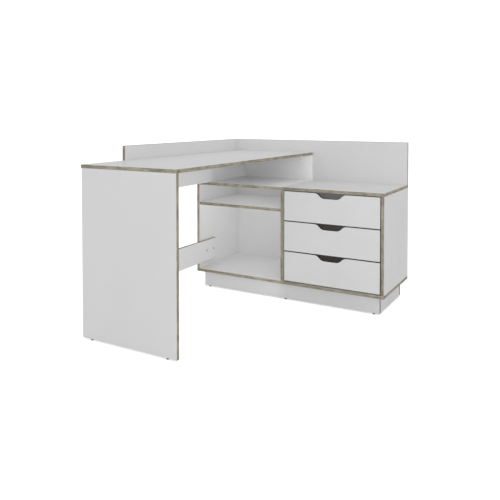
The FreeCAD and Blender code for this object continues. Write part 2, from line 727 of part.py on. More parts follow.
def notched_outline(body, name):
    """Sketch of a drawer front with a finger notch in its top edge; each shoulder is two equal arcs."""
    plane = next(part for part in body.Origin.OriginFeatures if part.Role == "XZ_Plane")
    outline = body.newObject("Sketcher::SketchObject", name)
    outline.AttachmentSupport = (plane, "")
    outline.MapMode = "FlatFace"
    width = value(FRONT_WIDTH)
    height = value(FRONT_HEIGHT)
    opening = value("notch_width") / 2
    floor = value("notch_floor") / 2
    depth = value("notch_depth")
    middle = width / 2
    run = (opening - floor) / 2
    radius = (run * run + depth * depth / 4) / depth
    sweep = math.asin(run / radius)

    def line(start, end):
        return outline.addGeometry(Part.LineSegment(Vector(*start, 0), Vector(*end, 0)))

    def arc(centre, start, end):
        circle = Part.Circle(Vector(*centre, 0), Vector(0, 0, 1), radius)
        return outline.addGeometry(Part.ArcOfCircle(circle, start, end))

    quarter = math.pi / 2
    bottom = line((0, 0), (width, 0))
    right = line((width, 0), (width, height))
    top_right = line((width, height), (middle + opening, height))
    right_shoulder = arc((middle + opening, height - radius), quarter, quarter + sweep)
    right_foot = arc((middle + floor, height - depth + radius), 3 * quarter, 3 * quarter + sweep)
    notch_floor = line((middle + floor, height - depth), (middle - floor, height - depth))
    left_foot = arc((middle - floor, height - depth + radius), 3 * quarter - sweep, 3 * quarter)
    left_shoulder = arc((middle - opening, height - radius), quarter - sweep, quarter)
    top_left = line((middle - opening, height), (0, height))
    left = line((0, height), (0, 0))

    def rule(*values):
        return outline.addConstraint(Sketcher.Constraint(*values))

    for first, second in ((bottom, right), (right, top_right), (top_left, left), (left, bottom)):
        rule("Coincident", first, 2, second, 1)
    rule("Coincident", bottom, 1, -1, 1)
    for joint in (
        (top_right, 2, right_shoulder, 1),
        (right_shoulder, 2, right_foot, 2),
        (right_foot, 1, notch_floor, 1),
        (notch_floor, 2, left_foot, 2),
        (left_foot, 1, left_shoulder, 1),
        (left_shoulder, 2, top_left, 1),
    ):
        rule("Tangent", *joint)
    for level in (bottom, top_right, notch_floor, top_left):
        rule("Horizontal", level)
    for upright in (right, left):
        rule("Vertical", upright)
    for curve in (right_foot, left_foot, left_shoulder):
        rule("Equal", right_shoulder, curve)
    rule("Equal", top_right, top_left)
    rule("Horizontal", top_right, 2, top_left, 1)
    sizes = (
        ("front_width", ("DistanceX", bottom, 1, bottom, 2, width), FRONT_WIDTH),
        ("front_height", ("DistanceY", right, 1, right, 2, height), FRONT_HEIGHT),
        ("opening", ("DistanceX", top_left, 1, top_right, 2, 2 * opening), "notch_width"),
        ("floor", ("DistanceX", notch_floor, 2, notch_floor, 1, 2 * floor), "notch_floor"),
        ("depth", ("DistanceY", notch_floor, 1, top_right, 2, depth), "notch_depth"),
    )
    for label, constraint, expression in sizes:
        outline.renameConstraint(rule(*constraint), label)
        outline.setExpression(f"Constraints.{label}", bound(expression))
    return outline


def drawer_front(name, low):
    """The front board with its finger notch, before it is grooved and bored."""
    body = doc.addObject("PartDesign::Body", name + "_blank")
    outline = notched_outline(body, name + "_outline")
    pad = body.newObject("PartDesign::Pad", name + "_pad")
    pad.Profile = outline
    pad.setExpression("Length", bound("board_thickness"))
    outline.Visibility = False
    place(body, (f"({DIVIDER_RIGHT} + drawer_gap)", FRONT_BACK, low))
    return body


def drawer(number):
    """One drawer with its runners and rollers; returns the screws that stay in the cabinet."""
    name = f"drawer_{number}"
    low = f"({BOTTOM_TOP} + drawer_gap + {number - 1} * ({FRONT_HEIGHT} + drawer_gap))"
    runner_low = f"({low} + runner_lift)"
    side_low = f"({runner_low} + drawer_side_lift)"
    side_up = (side_low, f"{side_low} + drawer_side_height")
    panel_low = f"({side_low} + drawer_bottom_lift)"
    panel_up = (panel_low, f"{panel_low} + drawer_bottom_thickness")
    outer = "runner_space"
    inner = "runner_space + drawer_side_thickness"
    groove = f"{inner} - groove_depth"
    panel_across = (at_wall("left", groove), at_wall("right", groove))
    panel_back = (DRAWER_REAR, f"{FRONT_BACK} + groove_depth")
    panel = block(name + "_panel", panel_across, panel_back, panel_up)

    members = []
    channels = []
    front_wheels = []
    rear_wheels = []
    fasteners = []
    wall_screws = []
    for side in ("left", "right"):
        board = f"{name}_{side}_side"
        channel, wheel, screws = cabinet_runner(f"{name}_{side}_channel", side, runner_low)
        channels.append(channel)
        front_wheels.append(wheel)
        wall_screws += screws
        member, wheel, screws = drawer_runner(f"{name}_{side}_rail", side, runner_low)
        members.append(member)
        rear_wheels.append(wheel)
        fasteners += screws
        set_into(board, *screws)
        middle = at_wall(side, f"{outer} + drawer_side_thickness / 2")
        for row, height in enumerate(("drawer_fixing_low", "drawer_fixing_high")):
            point = (middle, FRONT_BACK, f"({side_low} + {height})")
            cam, bolt = cam_joint(
                f"{board}_{row}",
                (board, f"{name}_front"),
                point,
                "front",
                OPPOSITE[side],
                "drawer_side_thickness / 2",
                "drawer_cam_depth",
            )
            fasteners += [cam, bolt]
            end = (at_wall(side, outer), f"({DRAWER_REAR} + drawer_side_thickness / 2)", point[2])
            screw = countersunk_screw(f"{board}_end_{row}", end, OPPOSITE[side], "corner_screw_length")
            fasteners.append(screw)
            set_into(board, screw)
            set_into(f"{name}_back", screw)
        set_into(board, panel)
        blank = block(board + "_blank", from_wall(side, outer, inner), (DRAWER_REAR, FRONT_BACK), side_up)
        fitted(board, blank)
    set_into(f"{name}_front", panel)
    fitted(f"{name}_front", drawer_front(f"{name}_front", low))
    back_across = (at_wall("left", inner), at_wall("right", inner))
    back_back = (DRAWER_REAR, f"{DRAWER_REAR} + drawer_side_thickness")
    back = block(name + "_back_blank", back_across, back_back, (panel_up[1], side_up[1]))
    fitted(f"{name}_back", back)
    node(panel, f"{name}_bottom")
    group(f"{name}_runners", members)
    group(f"{name}_cabinet_runners", channels)
    group(f"{name}_cabinet_rollers", front_wheels)
    group(f"{name}_runner_rollers", rear_wheels)
    group(f"{name}_fasteners", fasteners)
    return wall_screws


def check_and_write():
    """Refuse a failed object or an empty or invalid shape, then write one file for each sub-part."""
    doc.recompute()
    failed = [item.Name for item in doc.Objects if {"Invalid", "Error"} & set(item.State)]
    unsound = [item.Label for item in nodes if item.Shape.isNull() or not item.Shape.isValid()]
    if failed or unsound:
        raise RuntimeError(f"failed objects {failed}, unsound sub-parts {unsound}")
    os.makedirs("parts", exist_ok=True)
    for item in nodes:
        item.Shape.exportStep(f"parts/{item.Label}.step")


fill_sheet()
fittings = cabinet_joints() + desk_joints()
for band, first in (("desktop_left_band", "desktop_"), ("end_panel_left_band", "stretcher_")):
    set_into(band, *[bolt for cam, bolt in fittings if bolt.Name.startswith(first)])
glide_feet()
stretcher_bolts()
shelf_pins()
wood_screws = corner_brackets()
for drawer_number in range(1, DRAWER_COUNT + 1):
    wood_screws += drawer(drawer_number)
cabinet_boards()
plinth_boards()
desk_boards()
edge_bands()
group("cam_locks", [cam for cam, bolt in fittings])
group("cam_bolts", [bolt for cam, bolt in fittings])
group("wood_screws", wood_screws)
check_and_write()
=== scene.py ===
import math

import bmesh
import bpy
from mathutils import Matrix, Vector


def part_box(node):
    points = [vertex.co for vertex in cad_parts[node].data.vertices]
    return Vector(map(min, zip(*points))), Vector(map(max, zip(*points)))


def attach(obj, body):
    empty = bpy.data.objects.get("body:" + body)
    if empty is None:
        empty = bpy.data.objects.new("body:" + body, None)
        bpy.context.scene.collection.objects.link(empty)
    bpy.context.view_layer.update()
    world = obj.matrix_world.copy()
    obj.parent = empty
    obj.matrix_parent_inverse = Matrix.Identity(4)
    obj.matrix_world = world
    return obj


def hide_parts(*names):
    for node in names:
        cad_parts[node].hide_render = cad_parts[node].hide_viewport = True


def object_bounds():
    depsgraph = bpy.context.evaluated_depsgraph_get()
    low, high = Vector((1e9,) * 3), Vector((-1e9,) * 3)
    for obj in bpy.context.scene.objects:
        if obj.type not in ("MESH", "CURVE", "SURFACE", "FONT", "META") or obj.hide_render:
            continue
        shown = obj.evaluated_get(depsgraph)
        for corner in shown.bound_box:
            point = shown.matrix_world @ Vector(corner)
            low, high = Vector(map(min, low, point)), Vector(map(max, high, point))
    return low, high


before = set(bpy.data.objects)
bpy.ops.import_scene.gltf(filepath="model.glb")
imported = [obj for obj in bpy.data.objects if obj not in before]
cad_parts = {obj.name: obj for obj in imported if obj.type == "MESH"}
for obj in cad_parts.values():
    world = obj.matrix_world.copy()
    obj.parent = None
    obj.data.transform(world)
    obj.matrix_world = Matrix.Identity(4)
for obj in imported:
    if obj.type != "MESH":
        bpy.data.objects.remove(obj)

cad_low, cad_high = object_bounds()

# The studio: a camera at chest height, in front of the desk and to its right, over a pale
# seamless floor. An even dome lights it from all sides, one broad soft light stands behind the
# camera, and soft panels fill the compartments, the drawers and the knee space.

scene = bpy.context.scene
scene.view_settings.view_transform = "Standard"

camera_data = bpy.data.cameras.new("studio_camera")
camera_data.sensor_width = 36
camera_data.lens = 42.45
camera_data.shift_y = -0.23
camera_data.clip_end = 200
camera = bpy.data.objects.new("studio_camera", camera_data)
camera.location = (1.3567, -2.4778, 0.9507)
camera.rotation_euler = (math.radians(90 - 1.71), 0, math.radians(29.775))
scene.collection.objects.link(camera)
scene.camera = camera


def lit_for_camera(tree, strength, others, straight):
    """Give a strength one value for light that falls on things and another for what is seen."""
    paths = tree.nodes.new("ShaderNodeLightPath")
    choice = tree.nodes.new("ShaderNodeMapRange")
    choice.inputs["To Min"].default_value = others
    choice.inputs["To Max"].default_value = straight
    tree.links.new(paths.outputs["Is Camera Ray"], choice.inputs["Value"])
    tree.links.new(choice.outputs["Result"], strength)


dome = bpy.data.worlds.new("studio_dome")
dome.use_nodes = True
dome_shader = dome.node_tree.nodes["Background"]
dome_shader.inputs["Color"].default_value = (1.0, 1.0, 1.0, 1)
lit_for_camera(dome.node_tree, dome_shader.inputs["Strength"], 0.72, 1.1)
scene.world = dome


def soft_light(name, place, direction, width, height, radiance):
    """A rectangular panel of even brightness that shines one way and isn't seen itself."""
    data = bpy.data.lights.new(name, "AREA")
    data.shape = "RECTANGLE"
    data.size = width
    data.size_y = height
    data.energy = math.pi * width * height * radiance
    light = bpy.data.objects.new(name, data)
    light.location = place
    light.rotation_euler = Vector(direction).to_track_quat("-Z", "Y").to_euler()
    light.visible_camera = False
    scene.collection.objects.link(light)


desk_middle = (cad_low + cad_high) / 2
behind_camera = desk_middle + Vector((3.3, -4.7, 0.9))
soft_light("front_light", behind_camera, desk_middle - behind_camera, 3.0, 3.0, 1.75)


def soft_panel(name, start, end, direction, radiance):
    """A soft panel over the flat rectangle between two corners that shines one way."""
    middle = (Vector(start) + Vector(end)) / 2
    size = Vector(end) - Vector(start)
    if direction[0]:
        soft_light(name, middle, direction, abs(size.y), abs(size.z), radiance)
    else:
        soft_light(name, middle, direction, abs(size.x), abs(size.y), radiance)


bay_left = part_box("cabinet_left_side")[1].x
bay_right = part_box("cabinet_divider")[0].x
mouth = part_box("cabinet_left_side")[0].y
bay_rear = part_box("cabinet_back_panel")[0].y
shelf_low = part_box("cabinet_shelf")[0].z
top_low, top_high = (corner.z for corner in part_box("cabinet_top"))
panel_gap = 0.002
for name, roof, radiance in (("bay_light", shelf_low, 0.47), ("slot_light", top_low, 0.265)):
    start = (bay_left, mouth, roof - panel_gap)
    end = (bay_right, bay_rear, roof - panel_gap)
    soft_panel(name, start, end, (0, 0, -1), radiance)
desktop_low, desktop_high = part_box("desktop")
knee_side = desktop_high.x
knee_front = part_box("end_panel")[1].y
knee_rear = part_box("rear_screen")[0].y
above_floor = 0.02
start = (knee_side, knee_front, above_floor)
end = (knee_side, mouth, desktop_low.z)
soft_panel("knee_light", start, end, (-1, 0, 0), 0.40)
start = (knee_side, mouth, top_high)
end = (knee_side, knee_rear, desktop_low.z)
soft_panel("gap_light", start, end, (-1, 0, 0), 0.45)
above_drawer = 0.02
for drawer, radiance in (("drawer_1", 0.05), ("drawer_2", 0.06), ("drawer_3", 0.135)):
    box_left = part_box(f"{drawer}_left_side")[1]
    box_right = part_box(f"{drawer}_right_side")[0]
    box_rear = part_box(f"{drawer}_back")[0].y
    level = box_left.z + above_drawer
    start = (box_left.x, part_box(f"{drawer}_front")[1].y, level)
    end = (box_right.x, box_rear, level)
    soft_panel(f"{drawer}_light", start, end, (0, 0, -1), radiance)


def node_material(name):
    """A new material with its node tree and its Principled shader."""
    material = bpy.data.materials.new(name)
    material.use_nodes = True
    return material, material.node_tree, material.node_tree.nodes["Principled BSDF"]


floor_material, floor_tree, floor_shader = node_material("studio_floor")
floor_shader.inputs["Base Color"].default_value = (0.84, 0.84, 0.84, 1)
floor_shader.inputs["Roughness"].default_value = 0.9
floor_shader.inputs["Specular IOR Level"].default_value = 0.1
floor_shader.inputs["Emission Color"].default_value = (1.0, 1.0, 1.0, 1)
lit_for_camera(floor_tree, floor_shader.inputs["Emission Strength"], 0.0, 0.62)
floor_radius = 60
floor_shape = bmesh.new()
bmesh.ops.create_circle(floor_shape, cap_ends=True, radius=floor_radius, segments=64)
floor_mesh = bpy.data.meshes.new("studio_floor")
floor_shape.to_mesh(floor_mesh)
floor_shape.free()
floor_mesh.materials.append(floor_material)
studio_floor = bpy.data.objects.new("studio_floor", floor_mesh)
scene.collection.objects.link(studio_floor)

# The boards: 15 mm particle board faced on both sides with white melamine, which has a fine
# pearl grain. Its sawn edges show the chips wherever no band covers them, and so do the bores.
# The boards keep their modelled shape; which faces are sawn follows from the way each one lies.


def effect_group(name, inputs, outputs):
    """An empty shader group with its sockets; returns the tree and its two end nodes."""
    tree = bpy.data.node_groups.new(name, "ShaderNodeTree")
    for label, kind in inputs.items():
        tree.interface.new_socket(label, in_out="INPUT", socket_type=kind)
    for label, kind in outputs.items():
        tree.interface.new_socket(label, in_out="OUTPUT", socket_type=kind)
    return tree, tree.nodes.new("NodeGroupInput"), tree.nodes.new("NodeGroupOutput")


def noise(tree, vector, scale, detail=2.0, roughness=0.5, distortion=0.0):
    """A noise texture's value socket."""
    texture = tree.nodes.new("ShaderNodeTexNoise")
    texture.inputs["Scale"].default_value = scale
    texture.inputs["Detail"].default_value = detail
    texture.inputs["Roughness"].default_value = roughness
    texture.inputs["Distortion"].default_value = distortion
    tree.links.new(vector, texture.inputs["Vector"])
    return texture.outputs["Fac"]


def ramp(tree, value, *stops):
    """A colour ramp's colour socket, from (position, colour) stops."""
    node = tree.nodes.new("ShaderNodeValToRGB")
    elements = node.color_ramp.elements
    while len(elements) < len(stops):
        elements.new(0.5)
    for element, (position, colour) in zip(elements, stops):
        element.position = position
        element.color = (*colour, 1)
    tree.links.new(value, node.inputs["Fac"])
    return node.outputs["Color"]


def span(tree, value, low, high):
    """A value from 0 to 1 spread over a range."""
    node = tree.nodes.new("ShaderNodeMapRange")
    node.inputs["To Min"].default_value = low
    node.inputs["To Max"].default_value = high
    tree.links.new(value, node.inputs["Value"])
    return node.outputs["Result"]


def stretched(tree, vector, scale):
    """The vector scaled along each of its axes."""
    node = tree.nodes.new("ShaderNodeMapping")
    node.inputs["Scale"].default_value = scale
    tree.links.new(vector, node.inputs["Vector"])
    return node.outputs["Vector"]


def calculated(tree, operation, *values):
    """The result of one sum over sockets or fixed numbers."""
    node = tree.nodes.new("ShaderNodeMath")
    node.operation = operation
    for socket, value in zip(node.inputs, values):
        if isinstance(value, bpy.types.NodeSocket):
            tree.links.new(value, socket)
        else:
            socket.default_value = value
    return node.outputs["Value"]


def blended(tree, factor, first, second, colours):
    """Two colours or two values mixed by a factor."""
    node = tree.nodes.new("ShaderNodeMix")
    node.data_type = "RGBA" if colours else "FLOAT"
    start = 6 if colours else 2
    tree.links.new(factor, node.inputs[0])
    tree.links.new(first, node.inputs[start])
    tree.links.new(second, node.inputs[start + 1])
    return node.outputs[2] if colours else node.outputs[0]


def multiplied(tree, first, second):
    """Two colours multiplied."""
    node = tree.nodes.new("ShaderNodeMix")
    node.data_type = "RGBA"
    node.blend_type = "MULTIPLY"
    node.inputs[0].default_value = 1.0
    tree.links.new(first, node.inputs[6])
    tree.links.new(second, node.inputs[7])
    return node.outputs[2]


SURFACE_OUTPUTS = {
    "Color": "NodeSocketColor",
    "Roughness": "NodeSocketFloat",
    "Height": "NodeSocketFloat",
}


def pearl_group():
    """Fine pearl grain of a white faced board: small dimples and a faint cloudiness."""
    tree, entry, leave = effect_group(
        "pearl_grain",
        {"Vector": "NodeSocketVector", "Tint": "NodeSocketColor"},
        SURFACE_OUTPUTS,
    )
    vector = entry.outputs["Vector"]
    clouds = ramp(tree, noise(tree, vector, 5.0, 3.0), (0.3, (0.975,) * 3), (0.7, (1.0,) * 3))
    tree.links.new(multiplied(tree, entry.outputs["Tint"], clouds), leave.inputs["Color"])
    uneven = noise(tree, vector, 60.0, 4.0)
    tree.links.new(span(tree, uneven, 0.36, 0.5), leave.inputs["Roughness"])
    tree.links.new(noise(tree, vector, 900.0, 1.0), leave.inputs["Height"])
    return tree


def chipboard_group():
    """Sawn particle board: pressed chips of several browns, with small open pits."""
    tree, entry, leave = effect_group(
        "sawn_chipboard", {"Vector": "NodeSocketVector"}, SURFACE_OUTPUTS
    )
    vector = entry.outputs["Vector"]
    chips = tree.nodes.new("ShaderNodeTexVoronoi")
    chips.inputs["Scale"].default_value = 420.0
    tree.links.new(vector, chips.inputs["Vector"])
    shade = tree.nodes.new("ShaderNodeSeparateColor")
    tree.links.new(chips.outputs["Color"], shade.inputs["Color"])
    browns = ramp(
        tree,
        shade.outputs["Red"],
        (0.0, (0.085, 0.070, 0.052)),
        (0.35, (0.175, 0.148, 0.112)),
        (0.75, (0.245, 0.210, 0.162)),
        (1.0, (0.330, 0.290, 0.230)),
    )
    tree.links.new(browns, leave.inputs["Color"])
    tree.links.new(span(tree, shade.outputs["Green"], 0.7, 0.95), leave.inputs["Roughness"])
    tree.links.new(chips.outputs["Distance"], leave.inputs["Height"])
    return tree


pearl_grain = pearl_group()
sawn_chipboard = chipboard_group()


def placed_group(tree, group, vector, **values):
    """An effect group set into a material's tree, read at a vector, with its own values."""
    node = tree.nodes.new("ShaderNodeGroup")
    node.node_tree = group
    tree.links.new(vector, node.inputs["Vector"])
    for label, value in values.items():
        node.inputs[label].default_value = value
    return node


def drive(tree, shader, sources, strength, distance):
    """Drive a shader by the sockets of a colour, a roughness and a height."""
    colour, rough, height = sources
    bump = tree.nodes.new("ShaderNodeBump")
    bump.inputs["Strength"].default_value = strength
    bump.inputs["Distance"].default_value = distance
    tree.links.new(height, bump.inputs["Height"])
    tree.links.new(colour, shader.inputs["Base Color"])
    tree.links.new(rough, shader.inputs["Roughness"])
    tree.links.new(bump.outputs["Normal"], shader.inputs["Normal"])


def surface(tree, shader, group, strength, distance, **values):
    """Drive a shader by one effect group read at the piece's own coordinates."""
    spot = tree.nodes.new("ShaderNodeTexCoord")
    node = placed_group(tree, group, spot.outputs["Object"], **values)
    drive(tree, shader, [node.outputs[label] for label in SURFACE_OUTPUTS], strength, distance)


def face_over_core(tree, shader, bare, face, core, strength, distance):
    """Drive a shader by a face's effect group, and by its core's where the bare mask is 1."""
    sources = [
        blended(tree, bare, face.outputs[label], core.outputs[label], colours=label == "Color")
        for label in SURFACE_OUTPUTS
    ]
    drive(tree, shader, sources, strength, distance)


melamine_white = (0.82, 0.82, 0.822, 1)
half_turned = 0.7


def facing(tree, spot, axis):
    """How far a surface looks along one axis, from -1 to 1."""
    parts = tree.nodes.new("ShaderNodeSeparateXYZ")
    tree.links.new(spot.outputs["Normal"], parts.inputs["Vector"])
    return parts.outputs[axis]


def faced_board(name, thin_axis):
    """Melamine on the two faces of a board that is thin along an axis, raw chips elsewhere."""
    material, tree, shader = node_material(name)
    spot = tree.nodes.new("ShaderNodeTexCoord")
    face = placed_group(tree, pearl_grain, spot.outputs["Object"], Tint=melamine_white)
    chips = placed_group(tree, sawn_chipboard, spot.outputs["Object"])
    across = calculated(tree, "ABSOLUTE", facing(tree, spot, thin_axis))
    sawn = calculated(tree, "LESS_THAN", across, half_turned)
    face_over_core(tree, shader, sawn, face, chips, 0.12, 0.0004)
    return material


def finish_node(node, material):
    """Give a modelled piece its material."""
    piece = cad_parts[node]
    if piece.material_slots:
        for place in piece.material_slots:
            place.material = material
    else:
        piece.data.materials.append(material)


boards_by_thin_axis = {
    0: (
        "cabinet_left_side",
        "cabinet_divider",
        "cabinet_right_side",
        "plinth_left",
        "plinth_right",
        "upstand",
        "apron_rail",
        "stretcher",
    ),
    1: ("plinth_front", "plinth_rear", "end_panel", "rear_screen"),
    2: ("cabinet_top", "cabinet_bottom", "cabinet_shelf", "desktop"),
}
for thin_axis, boards in boards_by_thin_axis.items():
    board_material = faced_board(f"white_melamine_{'xyz'[thin_axis]}", thin_axis)
    for board in boards:
        finish_node(board, board_material)

# The edge bands: 1 mm strips printed with a weathered grey oak, glued to every edge that shows
# and eased along their outer edges. Each strip is cut from its board's own box, and its grain
# runs along it, from a different place in the print.

band_thickness = 0.001
band_ease = 0.0006
SIDES = {
    "left": (0, -1),
    "right": (0, 1),
    "near": (1, -1),
    "far": (1, 1),
    "below": (2, -1),
    "above": (2, 1),
}


def oak_group():
    """Weathered oak print: long streaks, fine dark pores and slow light and dark stretches."""
    tree, entry, leave = effect_group(
        "weathered_oak",
        {"Vector": "NodeSocketVector", "Stain": "NodeSocketColor"},
        SURFACE_OUTPUTS,
    )
    vector = entry.outputs["Vector"]
    streaks = noise(tree, stretched(tree, vector, (7, 230, 1)), 1.0, 5.0, 0.62, 0.7)
    stretches = noise(tree, stretched(tree, vector, (20, 45, 1)), 1.0, 3.0, 0.6, 0.4)
    pores = noise(tree, stretched(tree, vector, (45, 1500, 1)), 1.0, 2.0)
    wood = ramp(
        tree,
        streaks,
        (0.30, (0.230, 0.195, 0.140)),
        (0.47, (0.385, 0.339, 0.255)),
        (0.60, (0.472, 0.423, 0.326)),
        (0.75, (0.575, 0.524, 0.420)),
    )
    patches = ramp(tree, stretches, (0.36, (0.66, 0.66, 0.67)), (0.60, (1.10, 1.09, 1.07)))
    dark_pores = ramp(tree, pores, (0.30, (0.62, 0.60, 0.57)), (0.44, (1.0, 1.0, 1.0)))
    # The last layer multiplies in a painted shade; white leaves the print as it is.
    colour = wood
    for layer in (patches, dark_pores, entry.outputs["Stain"]):
        colour = multiplied(tree, colour, layer)
    tree.links.new(colour, leave.inputs["Color"])
    tree.links.new(span(tree, streaks, 0.62, 0.45), leave.inputs["Roughness"])
    tree.links.new(pores, leave.inputs["Height"])
    return tree


weathered_oak = oak_group()


def oak_material(name, painted_shade):
    """Oak print along a piece's own grain coordinates, darkened by a painted shade."""
    material, tree, shader = node_material(name)
    along_strip = tree.nodes.new("ShaderNodeUVMap")
    along_strip.uv_map = "grain"
    oak = placed_group(tree, weathered_oak, along_strip.outputs["UV"], Stain=painted_shade)
    drive(tree, shader, [oak.outputs[label] for label in SURFACE_OUTPUTS], 0.25, 0.0002)
    return material


oak_band = oak_material("weathered_oak_band", (1.0, 1.0, 1.0, 1))


def finished(shape, name, materials, body, stands_for):
    """Turn a shape into a piece with its materials, its body and the pieces it stands for."""
    mesh = bpy.data.meshes.new(name)
    shape.to_mesh(mesh)
    shape.free()
    piece = bpy.data.objects.new(name, mesh)
    scene.collection.objects.link(piece)
    for material in materials:
        mesh.materials.append(material)
    mesh.set_sharp_from_angle(angle=math.radians(40))
    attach(piece, body)
    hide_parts(*stands_for)
    return piece


def ease_edges(shape, edges, width, segments, clamp_overlap=True):
    """Round edges over."""
    bmesh.ops.bevel(
        shape,
        geom=edges,
        offset=width,
        offset_type="OFFSET",
        segments=segments,
        profile=0.5,
        affect="EDGES",
        material=-1,
        clamp_overlap=clamp_overlap,
    )


def add_strip(shape, board, side, turns, print_place):
    """Add the band of one side of a board; at the turned corners it runs over the next band."""
    low, high = (list(corner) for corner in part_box(board))
    thin, sign = SIDES[side]
    if sign > 0:
        low[thin], high[thin] = high[thin], high[thin] + band_thickness
    else:
        low[thin], high[thin] = low[thin] - band_thickness, low[thin]
    turned_ends = []
    for corner in turns:
        axis, towards = SIDES[corner]
        end = high if towards > 0 else low
        end[axis] += towards * band_thickness
        turned_ends.append((axis, end[axis]))
    size = Vector(high) - Vector(low)
    long = max(range(3), key=lambda axis: size[axis])
    wide = 3 - thin - long
    centre = (Vector(high) + Vector(low)) / 2
    strip = bmesh.new()
    bmesh.ops.create_cube(strip, size=1)
    bmesh.ops.scale(strip, vec=size, verts=strip.verts)
    bmesh.ops.translate(strip, vec=centre, verts=strip.verts)
    outer = high[thin] if sign > 0 else low[thin]
    eased = []
    for edge in strip.edges:
        first, second = (vertex.co for vertex in edge.verts)
        if any(abs(spot[thin] - outer) > band_ease / 2 for spot in (first, second)):
            continue
        runs_along = abs(first[long] - second[long]) > band_thickness
        at_corner = any(abs(first[axis] - end) < band_ease / 2 for axis, end in turned_ends)
        if runs_along or at_corner:
            eased.append(edge)
    ease_edges(strip, eased, band_ease, 3, clamp_overlap=False)
    layer = strip.loops.layers.uv.new("grain")
    for face in strip.faces:
        face.smooth = True
        for corner in face.loops:
            spot = corner.vert.co
            corner[layer].uv = (spot[long] + print_place, spot[wide] + spot[thin] + print_place)
    part = bpy.data.meshes.new("strip")
    strip.to_mesh(part)
    strip.free()
    shape.from_mesh(part)
    bpy.data.meshes.remove(part)


BAND_SETS = {
    "cabinet_board_edge_bands": (
        ("cabinet_top", "near", ("left", "right")),
        ("cabinet_top", "left", ()),
        ("cabinet_top", "right", ()),
        ("cabinet_bottom", "near", ("left", "right")),
        ("cabinet_bottom", "left", ()),
        ("cabinet_bottom", "right", ()),
        ("cabinet_shelf", "near", ()),
    ),
    "cabinet_upright_edge_bands": (
        ("cabinet_left_side", "near", ()),
        ("cabinet_divider", "near", ()),
        ("cabinet_right_side", "near", ()),
    ),
    "desktop_edge_bands": (
        ("desktop", "near", ("left", "right")),
        ("desktop", "right", ()),
        ("desktop", "left", ()),
    ),
    "end_panel_edge_bands": (("end_panel", "right", ()), ("end_panel", "left", ())),
    "screen_edge_bands": (
        ("rear_screen", "above", ("left", "right")),
        ("rear_screen", "left", ()),
        ("rear_screen", "right", ()),
        ("upstand", "above", ("near",)),
        ("upstand", "near", ()),
    ),
    "stretcher_edge_bands": (("stretcher", "above", ()), ("stretcher", "below", ())),
}
print_step = 0.73
strips_made = 0
for band_set, strips in BAND_SETS.items():
    bands = bmesh.new()
    for board, side, turns in strips:
        add_strip(bands, board, side, turns, print_step * strips_made)
        strips_made += 1
    finished(bands, f"oak_{band_set}", [oak_band], "desk", [band_set])

# The cabinet's back panel and the drawer bottoms: 3 mm hardboard, white lacquer on the side
# that faces the inside, bare brown board with its pressed screen pattern on the other.


def hardboard_group():
    """Bare hardboard: brown felted fibres with the imprint of the press screen."""
    tree, entry, leave = effect_group(
        "bare_hardboard", {"Vector": "NodeSocketVector"}, SURFACE_OUTPUTS
    )
    vector = entry.outputs["Vector"]
    fibres = noise(tree, vector, 260.0, 6.0, 0.7, 1.2)
    browns = ramp(tree, fibres, (0.3, (0.16, 0.095, 0.05)), (0.7, (0.34, 0.22, 0.125)))
    tree.links.new(browns, leave.inputs["Color"])
    tree.links.new(span(tree, fibres, 0.65, 0.85), leave.inputs["Roughness"])
    wires = []
    for direction in ("X", "Z"):
        wave = tree.nodes.new("ShaderNodeTexWave")
        wave.bands_direction = direction
        wave.inputs["Scale"].default_value = 130.0
        tree.links.new(vector, wave.inputs["Vector"])
        wires.append(wave.outputs["Fac"])
    tree.links.new(calculated(tree, "MULTIPLY", *wires), leave.inputs["Height"])
    return tree


bare_hardboard = hardboard_group()
lacquer_white = (0.80, 0.80, 0.80, 1)
mostly_turned = 0.5


def lacquered_hardboard(name, axis, bare_sign):
    """White lacquer, except on the face that looks along one way of an axis."""
    material, tree, shader = node_material(name)
    spot = tree.nodes.new("ShaderNodeTexCoord")
    face = placed_group(tree, pearl_grain, spot.outputs["Object"], Tint=lacquer_white)
    fibres = placed_group(tree, bare_hardboard, spot.outputs["Object"])
    outwards = calculated(tree, "MULTIPLY", facing(tree, spot, axis), bare_sign)
    bare = calculated(tree, "GREATER_THAN", outwards, mostly_turned)
    face_over_core(tree, shader, bare, face, fibres, 0.15, 0.0003)
    return material


finish_node("cabinet_back_panel", lacquered_hardboard("back_panel_hardboard", 1, 1))
drawer_hardboard = lacquered_hardboard("drawer_bottom_hardboard", 2, -1)

# The drawers: a white front with a finger notch cut into its top edge and a thin oak band all
# round its rim, notch and all, darkened with painted shade for the gaps and the notch; its
# thickness shows from the front as a fine line. Behind it is a box of thin foil-wrapped boards.

DRAWERS = ("drawer_1", "drawer_2", "drawer_3")
front_ease = 0.0004
front_band = 0.0009
# The rim's oak is darkened to about a seventh of its colour: painted shade for the shadow in the
# gaps and the notch.
oak_rim_painted_shade = oak_material("oak_rim_with_painted_shade", (0.15, 0.14, 0.125, 1))

# The fronts' white melamine is a lighter copy of the boards' (0.87 against 0.82): painted light
# that lifts the fronts to the brightness of the open faces.
front_white_painted_light, front_tree, front_shader = node_material("drawer_front_white_painted_light")
surface(front_tree, front_shader, pearl_grain, 0.12, 0.0004, Tint=(0.87, 0.87, 0.872, 1))
box_foil, foil_tree, foil_shader = node_material("drawer_box_foil")
surface(foil_tree, foil_shader, pearl_grain, 0.08, 0.0003, Tint=(0.78, 0.78, 0.775, 1))


weld = 1e-6
hair = 1e-5
sharp_corner = math.radians(60)
fully_turned = 0.99


def welded_copy(node):
    """A copy of a modelled piece with its loose triangles joined."""
    shape = bmesh.new()
    shape.from_mesh(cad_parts[node].data)
    bmesh.ops.remove_doubles(shape, verts=shape.verts, dist=weld)
    return shape


def merged_copy(node):
    """A copy of a modelled piece with its flat faces made whole."""
    shape = welded_copy(node)
    bmesh.ops.dissolve_limit(
        shape,
        angle_limit=math.radians(0.5),
        use_dissolve_boundaries=False,
        verts=shape.verts,
        edges=shape.edges,
    )
    return shape


